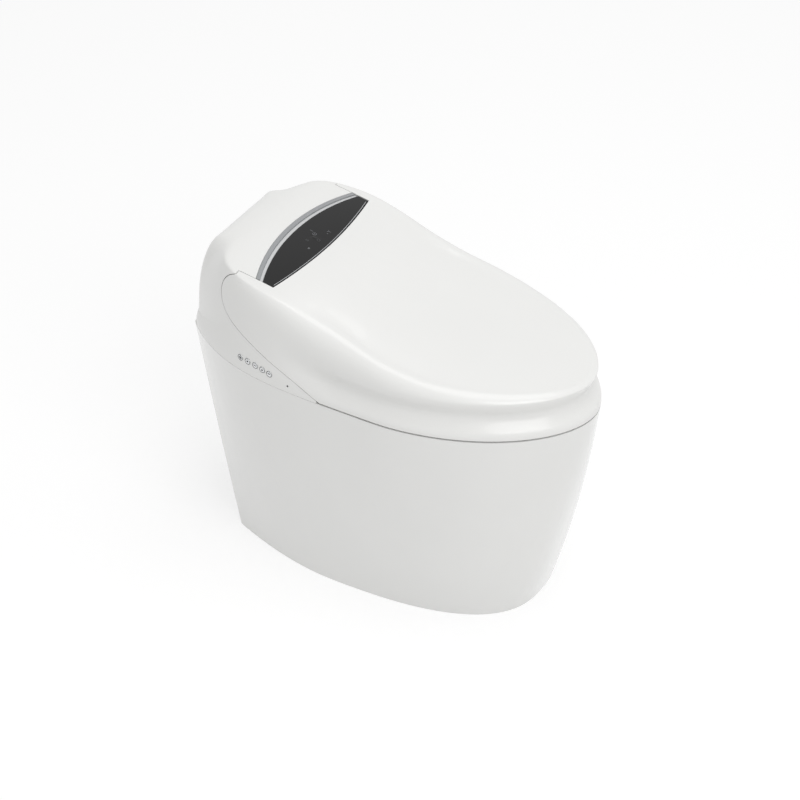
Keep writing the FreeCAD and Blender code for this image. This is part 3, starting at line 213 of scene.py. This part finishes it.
# %% Satin plastics
SPARK_GRAIN_MM, SPARK_DEPTH_MM = 1.5, 0.02
satin_abs = finish("satin_abs", "F1F1EF", roughness=0.38)
white_polypropylene = finish("white_polypropylene", "EAEAE7", roughness=0.45, ior=1.49)
acetal = finish("acetal", "E6E5DC", roughness=0.35, ior=1.48)
grey_abs = finish("grey_abs", "6E7175", roughness=0.5)
black_abs = finish("black_abs", "26272A", roughness=0.5)
drift(white_polypropylene, "E8E8E5", "ECECE9", size_mm=90)
drift(grey_abs, "6A6D71", "727579", size_mm=40)
drift(acetal, "E4E3DA", "E8E7DF", size_mm=30)
for plastic in (satin_abs, white_polypropylene, grey_abs, black_abs):
    relief(plastic, SPARK_GRAIN_MM, SPARK_DEPTH_MM)
relief(acetal, size_mm=4, depth_mm=0.01)
dress(satin_abs, "lid_liner")
dress(white_polypropylene, "seat_base", "chassis_plate", "flush_pipe", "wand_cradle")
dress(acetal, "wash_wand", "front_wand", "wash_pinion", "front_pinion", "feed_tubes")
dress(grey_abs, "lid_hinge_towers", "inlet_valve", "diverter_valve", "flush_valve", "dryer_scroll",
      "deodoriser_case")
dress(black_abs, "lid_drive", "seat_damper", "power_gland", "dryer_impeller", "deodoriser_fan")

# %% [markdown]
# ## Rubber
# Stops, hoses and the outlet seal are moulded rubber. It is matt, its reflection is wide and weak, and a bloom of
# powder lightens it in patches of a centimetre or two. A blasted mould leaves a grain of about 0.3 mm, drawn at 1.2 mm
# so that it shows. The black rubber also paints the shadow strip between the display window and the lid.

# %% Rubber
grey_rubber = finish("grey_rubber", "8E8F90", roughness=0.75)
# Black rubber, also used for the painted shadow strip along the display window's edge.
black_rubber = finish("black_rubber", "202022", roughness=0.8)
drift(grey_rubber, "888A8B", "959697", size_mm=15)
drift(black_rubber, "1C1C1E", "28282A", size_mm=18)
for rubber in (grey_rubber, black_rubber):
    relief(rubber, size_mm=1.2, depth_mm=0.03)
dress(grey_rubber, "lid_bumpers", "seat_bumpers", "inlet_hose", "heater_hose")
dress(black_rubber, "outlet_seal")

# %% [markdown]
# ## Metals and circuit boards
# Bolts, screws, shafts, wand tips, motor cases and the water heater are stainless steel, turned or drawn, so their fine
# marks run round them, mostly across X here. The inlet is turned brass. The heating foil and the power supply's case
# are aluminium sheet with rolling marks. The boards are glass-fibre laminate under a green solder mask, and its copper
# tracks show as a paler weave.

# %% Metals and boards
stainless_steel = finish("stainless_steel", "B9BBBD", roughness=0.28, metallic=1.0)
turned_brass = finish("turned_brass", "C9A566", roughness=0.25, metallic=1.0)
aluminium_sheet = finish("aluminium_sheet", "CBCCCD", roughness=0.4, metallic=1.0)
green_board = finish("green_board", "1F5A34", roughness=0.4)
haze(stainless_steel, shiny=0.22, dull=0.36, size_mm=6, stretch=(8, 1, 1))
relief(stainless_steel, size_mm=3, depth_mm=0.01, stretch=(6, 1, 1))
haze(turned_brass, shiny=0.2, dull=0.34, size_mm=8, stretch=(1, 1, 6))
relief(turned_brass, size_mm=3, depth_mm=0.015, stretch=(1, 1, 6))
haze(aluminium_sheet, shiny=0.33, dull=0.47, size_mm=20, stretch=(1, 12, 1))
relief(aluminium_sheet, size_mm=8, depth_mm=0.01, stretch=(1, 12, 1))
drift(green_board, "194C2B", "2C7A48", size_mm=5, stretch=(1, 6, 6))
dress(stainless_steel, "lid_hinge_stubs", "seat_hinge_pins", "deck_bolts", "deck_nuts", "flow_heater", "wash_tip",
      "front_tip", "wash_motor", "front_motor", "housing_screws")
dress(turned_brass, "water_inlet")
dress(aluminium_sheet, "seat_heater", "power_supply")
dress(green_board, "display_board", "button_board", "control_board")

# %% [markdown]
# ## The display window and its trim
# The window is tinted glass over an unlit display. All that is seen of it is the reflection of the room, a few percent
# of white over near-black, so its colour is almost nothing and its shine does the work. The trim behind it is ABS with
# a silver paint: flakes of aluminium in a satin varnish, darker and softer than a bare metal.

# %% Display glass and trim
tinted_glass = finish("tinted_glass", "050506", roughness=0.14, ior=1.4)
relief(tinted_glass, size_mm=60, depth_mm=0.02)
silver_paint = finish("silver_paint", "9FA1A3", roughness=0.42, metallic=0.3)
drift(silver_paint, "989A9C", "A6A8AA", size_mm=1.2)
relief(silver_paint, size_mm=1.2, depth_mm=0.008)
dress(tinted_glass, "display_glass")
dress(silver_paint, "panel_trim")

# %% [markdown]
# ## Buttons and status light
# The caps are moulded plastic with a satin plating, which in a white room comes out as a pale grey. The status light is
# off, so its smoked lens is a small dark dot.

# %% Button and lamp finishes
BUTTON_NODES = ("button_stop", "button_rear_wash", "button_front_wash", "button_dryer", "button_flush")
satin_plating = finish("satin_plating", "E2E3E4", roughness=0.3, metallic=0.85)
haze(satin_plating, shiny=0.26, dull=0.36, size_mm=3)
smoked_lens = finish("smoked_lens", "3C3D40", roughness=0.18)
drift(smoked_lens, "38393C", "414245", size_mm=2)
dress(satin_plating, *BUTTON_NODES)
dress(smoked_lens, "status_led_lens")

# %% [markdown]
# ## Thin prints
# A mark on the glass or on a button is a film of ink, drawn here a tenth of a millimetre thick. Each is a flat shape,
# made in millimetres by bmesh operators, moved to its place, laid on the surface there, and given a thickness, so that
# it is a closed solid. A solid is used and not a decal texture, because its outline stays sharp at any distance.

# %% Flat shapes
BAR_STEPS = 12        # faces along a bar, so that it bends with what it lies on
DROP_TAPER = 0.92     # share of its width that a drop has lost at its tip


def flat_shape(kind, size, segments):
    """A flat shape in the XY plane, in millimetres, about the origin.

    The size is (width, height) for a bar, (radius,) for a circle and (radius, width) for a ring. A drop has its radius
    and how far its top is drawn out, and a crescent its radius and how far its top is folded down.
    """
    flat = bmesh.new()
    if kind == "bar":
        bmesh.ops.create_grid(flat, x_segments=BAR_STEPS, y_segments=1, size=0.5)
        bmesh.ops.scale(flat, vec=(size[0], size[1], 1), verts=flat.verts)
        return flat
    bmesh.ops.create_circle(flat, cap_ends=True, segments=segments, radius=size[0])
    top = [v for v in flat.verts if v.co.y > 0]
    if kind == "ring":
        disc = list(flat.faces)
        bmesh.ops.inset_region(flat, faces=disc, thickness=size[1], use_boundary=True, use_even_offset=True)
        bmesh.ops.delete(flat, geom=disc, context="FACES")
    elif kind == "drop":
        for v in top:
            v.co.x *= 1 - v.co.y / size[0] * DROP_TAPER
            v.co.y *= size[1]
    elif kind == "crescent":
        for v in top:
            v.co.y *= -size[1]
    return flat


def add_shapes(whole, rows, segments):
    """Add flat shapes to a bmesh, each from a row of its kind, its size, its middle and its turn in degrees."""
    for kind, size, (x, y), angle in rows:
        shape = flat_shape(kind, size, segments)
        turn = Matrix.Rotation(math.radians(angle), 3, "Z")
        bmesh.ops.rotate(shape, cent=(0, 0, 0), matrix=turn, verts=shape.verts)
        bmesh.ops.translate(shape, vec=(x, y, 0), verts=shape.verts)
        part = bpy.data.meshes.new("shape")
        shape.to_mesh(part)
        shape.free()
        whole.from_mesh(part)
        bpy.data.meshes.remove(part)


# %% Laying a shape on a surface and giving it a thickness
UPWARD = Vector((0, 0, 1))


def lay_on(sheet, node, outward, lift_mm):
    """Drop the points of a flat bmesh, in metres, on a node against outward, and lift them by a little."""
    faces = bmesh.new()
    faces.from_mesh(nodes[node].data)
    surface = BVHTree.FromBMesh(faces)
    faces.free()
    for v in sheet.verts:
        place, _, _, _ = surface.ray_cast(v.co + outward, -outward)
        v.co = place + outward * lift_mm * MM


def thin_piece(name, sheet, thickness_mm, material, body):
    """Give a flat bmesh in place, in metres, its thickness, and add it to the object on a body."""
    bmesh.ops.triangulate(sheet, faces=sheet.faces[:])
    bmesh.ops.solidify(sheet, geom=sheet.faces[:], thickness=thickness_mm * MM)
    bmesh.ops.recalc_face_normals(sheet, faces=sheet.faces[:])
    mesh = bpy.data.meshes.new(name)
    sheet.to_mesh(mesh)
    sheet.free()
    mesh.materials.append(material)
    piece = bpy.data.objects.new(name, mesh)
    bpy.context.scene.collection.objects.link(piece)
    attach(piece, body)
    print(name, len(mesh.polygons), "faces on", body)


# %% [markdown]
# ## Marks on the buttons
# Each cap has a dark ring near its rim, in the same dark grey as the printed sign inside it: a square with four dashes
# round it, a dot, a slanted bar, a drop and a crescent. The strokes are wider than real ones, which wouldn't show from
# the camera. The
# face of a cap is found from its own mesh: it looks against the button's travel, and its middle is the middle of the
# points that stand furthest out. The sign is drawn there with Z upwards and moves with its button.

# %% Signs of the buttons
INK_MM, CAP_LIFT_MM = 0.09, 0.12
RING_SEGMENTS, BUTTON_SEGMENTS = 48, 40
BUTTON_RING = ("ring", (5.4, 0.85), (0, 0), 0)
BUTTON_SIGNS = {
    "button_stop": [
        ("bar", (3.4, 3.4), (0, 0), 0),
        ("bar", (2.2, 0.9), (0, 2.9), 0),
        ("bar", (2.2, 0.9), (0, -2.9), 0),
        ("bar", (0.9, 2.2), (2.9, 0), 0),
        ("bar", (0.9, 2.2), (-2.9, 0), 0),
    ],
    "button_rear_wash": [("circle", (1.7,), (0, 0.2), 0)],
    "button_front_wash": [("bar", (5.4, 1.3), (0, 0.3), -12)],
    "button_dryer": [("drop", (1.6, 1.9), (0, -0.5), 0)],
    "button_flush": [("crescent", (2.7, 0.3), (0, 2.4), 0)],
}
sign_ink = finish("sign_ink", "202124", roughness=0.55)
drift(sign_ink, "1D1E21", "26272A", size_mm=1)
print(len(BUTTON_SIGNS), "button signs")

# %% Print them on the caps
FACE_DEPTH_MM = 0.02     # points this near to the furthest one belong to the face
TRAVEL = {joint["child"]: Vector(joint["axis"]).normalized() for joint in frame["joints"]}


def cap_face(name):
    """The middle of a cap's face, and the direction that it looks in."""
    outward = -TRAVEL[name]
    points = [v.co for v in nodes[name].data.vertices]
    reach = max(p.dot(outward) for p in points)
    face = [p for p in points if reach - p.dot(outward) < FACE_DEPTH_MM * MM]
    middle = Vector([(min(p[i] for p in face) + max(p[i] for p in face)) / 2 for i in range(3)])
    return middle, outward


for name in BUTTON_NODES:
    middle, outward = cap_face(name)
    across = UPWARD.cross(outward).normalized()
    place = Matrix((across, outward.cross(across), outward)).transposed().to_4x4()
    place.translation = middle
    sign = bmesh.new()
    add_shapes(sign, [BUTTON_RING], RING_SEGMENTS)
    add_shapes(sign, BUTTON_SIGNS[name], BUTTON_SEGMENTS)
    bmesh.ops.transform(sign, matrix=place @ Matrix.Diagonal((MM, MM, MM, 1)), verts=sign.verts)
    lay_on(sign, name, outward, CAP_LIFT_MM)
    thin_piece(name + "_sign", sign, INK_MM, sign_ink, name)

# %% [markdown]
# ## The edge of the glass
# The front edge of the window carries a thin light grey strip, a painted highlight for the glint of light along the
# edge, and between it and the lid lies a black strip, a painted shadow for the shade in the gap under the lid's edge.
# Both are grids bent along the same arc as the edge and laid on the glass by casting rays down on its mesh, so they
# follow its curve wherever they are.

# %% Strips along an arc
WINDOW_HALF_MM = 145.8     # where the arcs of the window and its trim end
STRIP_STEPS = 90           # faces along a strip


def arc_y(ends_y, middle_y, x):
    """y at x on the arc through a middle point and two ends, in millimetres."""
    sag = middle_y - ends_y
    radius = (WINDOW_HALF_MM ** 2 + sag ** 2) / (2 * abs(sag))
    bow = math.copysign(1, sag)
    return middle_y - bow * radius + bow * math.sqrt(radius ** 2 - x ** 2)


def arc_strip(near, far, half_mm):
    """Flat strip between two arcs, each given by its y at the ends and in the middle."""
    strip = bmesh.new()
    bmesh.ops.create_grid(strip, x_segments=STRIP_STEPS, y_segments=2, size=1.0)
    for v in strip.verts:
        x, share = v.co.x * half_mm, (v.co.y + 1) / 2
        v.co = Vector((x, arc_y(*near, x) * (1 - share) + arc_y(*far, x) * share, 0)) * MM
    return strip


# %% Painted shadow and highlight along the edge
EDGE_ARC = (157.3, 142.3)     # y of the window's front edge at its ends and in its middle


def edge_strip(inset_mm, width_mm, half_mm):
    """A strip that runs along the window's front edge."""
    near, far = [[y + d for y in EDGE_ARC] for d in (inset_mm, inset_mm + width_mm)]
    return arc_strip(near, far, half_mm)


# A black strip of painted shadow, for the shade in the gap between the glass and the lid's edge.
shadow_strip = edge_strip(inset_mm=0.3, width_mm=1.2, half_mm=144.8)
lay_on(shadow_strip, "display_glass", UPWARD, lift_mm=0.25)
thin_piece("glass_edge_shadow", shadow_strip, 0.3, black_rubber, "pedestal")
# A light grey strip of painted highlight, for the glint along the glass's front edge.
edge_highlight_paint = finish("edge_highlight_paint", "C6C8CA", roughness=0.3)
relief(edge_highlight_paint, size_mm=0.6, depth_mm=0.01)
highlight_strip = edge_strip(inset_mm=1.5, width_mm=0.9, half_mm=141.0)
lay_on(highlight_strip, "display_glass", UPWARD, lift_mm=0.12)
thin_piece("glass_edge_highlight", highlight_strip, 0.2, edge_highlight_paint, "pedestal")

# %% [markdown]
# ## Painted light on the lower step of the trim
# The trim has two steps. The lower one, next to the glass, is painted a lighter silver for the light that falls on it,
# so the two read as a light and a darker band. The painted light is the same kind of strip, laid on the trim between
# the arcs of the glass and of the step.

# %% Painted light on the lower step
LIT_STEP_GLASS_SIDE, LIT_STEP_OUTER_SIDE = (176.9, 204.9), (181.5, 210.5)     # y at the ends and in the middle
# A lighter silver, painted light for the lit lower step of the trim.
lit_step_paint = finish("lit_step_paint", "D3D4D5", roughness=0.4, metallic=0.2)
haze(lit_step_paint, shiny=0.36, dull=0.46, size_mm=10, stretch=(1, 8, 1))
lit_step_strip = arc_strip(LIT_STEP_GLASS_SIDE, LIT_STEP_OUTER_SIDE, half_mm=144.5)
lay_on(lit_step_strip, "panel_trim", UPWARD, lift_mm=0.1)
thin_piece("trim_step_painted_light", lit_step_strip, 0.15, lit_step_paint, "pedestal")

# %% [markdown]
# ## Signs on the display
# With the display off, its printed signs only just show: a ring with a bar beside it, a small fork with a dot, a larger
# dot, and two fainter ones, three bars and a ring. They are plain signs of the builder's own for temperature, water,
# power, drying and seat, in greys a little lighter than the glass. They lie on the glass, which is rendered opaque.

# %% Display signs
GLASS_LIFT_MM = 0.06
DISPLAY_SEGMENTS = 24
faint_print = finish("faint_print", "606165", roughness=0.35)
dim_print = finish("dim_print", "37383B", roughness=0.3)
drift(faint_print, "58595D", "68696D", size_mm=2)
drift(dim_print, "323336", "3D3E41", size_mm=2)
DISPLAY_SIGNS = (
    ("display_sign_heat", faint_print, (8.5, 175.5), [
        ("ring", (3.6, 0.9), (0, 0), 0),
        ("bar", (1.0, 6.0), (4.2, 8.0), 0),
        ("circle", (0.9,), (0, 0), 0),
    ]),
    ("display_sign_water", faint_print, (29.5, 161.0), [
        ("bar", (1.0, 3.6), (0, -1.6), 0),
        ("bar", (0.9, 3.4), (1.2, 1.2), -38),
        ("bar", (0.9, 3.4), (-1.2, 1.2), 38),
        ("circle", (0.9,), (-6.5, -1.0), 0),
    ]),
    ("display_sign_power", faint_print, (-29.0, 163.0), [("circle", (1.9,), (0, 0), 0)]),
    ("display_sign_dry", dim_print, (-13.0, 176.0), [
        ("bar", (4.6, 0.8), (0, 0), 0),
        ("bar", (4.6, 0.8), (0, 1.9), 0),
        ("bar", (4.6, 0.8), (0, -1.9), 0),
    ]),
    ("display_sign_seat", dim_print, (-1.0, 162.0), [("ring", (3.0, 0.8), (0, 0), 0)]),
)
for name, ink, (x, y), rows in DISPLAY_SIGNS:
    sign = bmesh.new()
    add_shapes(sign, rows, DISPLAY_SEGMENTS)
    bmesh.ops.translate(sign, vec=(x, y, 0), verts=sign.verts)
    bmesh.ops.scale(sign, vec=(MM, MM, MM), verts=sign.verts)
    lay_on(sign, "display_glass", UPWARD, GLASS_LIFT_MM)
    thin_piece(name, sign, INK_MM, ink, "pedestal")

# %% [markdown]
# ## The room
# A large white floor carries the soft shadow under the toilet. For the camera, for a mirror and through glass, its
# paint is greyer and glows, so that its lit part is plain white and the shadow on it stays a pale grey. All other rays
# meet a white floor with no glow, so the glow sheds no light on the object.

# %% Floor
FLOOR_HALF = 12.0
floor_mesh = bpy.data.meshes.new("floor")
grid = bmesh.new()
bmesh.ops.create_grid(grid, x_segments=1, y_segments=1, size=FLOOR_HALF)
grid.to_mesh(floor_mesh)
grid.free()
floor = bpy.data.objects.new("floor", floor_mesh)
bpy.context.scene.collection.objects.link(floor)
print("floor", tuple(round(v, 1) for v in floor.dimensions))


# %% Floor paint
def seen_directly(tree):
    """1 for rays from the camera, off a mirror or through glass, and 0 for the rays that carry light."""
    paths = add_node(tree, "ShaderNodeLightPath")
    either = add_node(tree, "ShaderNodeMath", operation="MAXIMUM",
                      links=[(0, paths.outputs["Is Camera Ray"]), (1, paths.outputs["Is Glossy Ray"])])
    return add_node(tree, "ShaderNodeMath", operation="MAXIMUM",
                    links=[(0, either.outputs[0]), (1, paths.outputs["Is Transmission Ray"])]).outputs[0]


FLOOR_GREY, SEEN_GREY, FLOOR_GLOW = 0.888, 0.45, 0.64
floor_paint, tree, shader = new_material("floor_paint")
seen = seen_directly(tree)
grey = add_node(tree, "ShaderNodeMapRange", To_Min=FLOOR_GREY, To_Max=SEEN_GREY, links=[("Value", seen)])
tree.links.new(grey.outputs["Result"], shader.inputs["Base Color"])
shader.inputs["Roughness"].default_value = 0.9
shader.inputs["Specular IOR Level"].default_value = 0.0
shader.inputs["Emission Color"].default_value = (1, 1, 1, 1)
glow = add_node(tree, "ShaderNodeMapRange", To_Max=FLOOR_GLOW, links=[("Value", seen)])
tree.links.new(glow.outputs["Result"], shader.inputs["Emission Strength"])
floor_mesh.materials.append(floor_paint)
print("floor paint", FLOOR_GREY, "and where it is seen", SEEN_GREY, "with a glow of", FLOOR_GLOW)

# %% [markdown]
# ## Light
# The sky is plain white where it is seen, and lights the object at a lower level, so that white pieces don't wash out.
# Two soft boxes, one from the front left and one from above, give the shapes their gentle falloff.

# %% World
SKY_LEVEL = 0.55
world = bpy.data.worlds.new("room")
bpy.context.scene.world = world
world.use_nodes = True
tree = world.node_tree
tree.nodes.clear()
level = add_node(tree, "ShaderNodeMapRange", To_Min=SKY_LEVEL, To_Max=1.0, links=[("Value", seen_directly(tree))])
light = add_node(tree, "ShaderNodeBackground", Color=(1, 1, 1, 1), links=[("Strength", level.outputs["Result"])])
add_node(tree, "ShaderNodeOutputWorld", links=[("Surface", light.outputs["Background"])])
print("room level", SKY_LEVEL)

# %% Lamps
LAMP_TARGET = Vector((0, 0, 0.3))


def soft_lamp(name, place, width, watts):
    """A square soft box that faces the toilet."""
    lamp = bpy.data.lights.new(name, "AREA")
    lamp.shape = "SQUARE"
    lamp.size = width
    lamp.energy = watts
    stand = bpy.data.objects.new(name, lamp)
    aim = (LAMP_TARGET - Vector(place)).to_track_quat("-Z", "Y")
    stand.matrix_world = Matrix.Translation(place) @ aim.to_matrix().to_4x4()
    bpy.context.scene.collection.objects.link(stand)
    print(name, "lamp", watts, "W")


soft_lamp("key", (-1.6, -2.3, 3.2), width=2.2, watts=38)
soft_lamp("top", (0.4, -0.3, 3.4), width=2.0, watts=19)

# %% [markdown]
# ## Finish
# The view transform stays at Standard, so a colour renders as it is written.

# %% Finish
bpy.context.scene.view_settings.view_transform = "Standard"
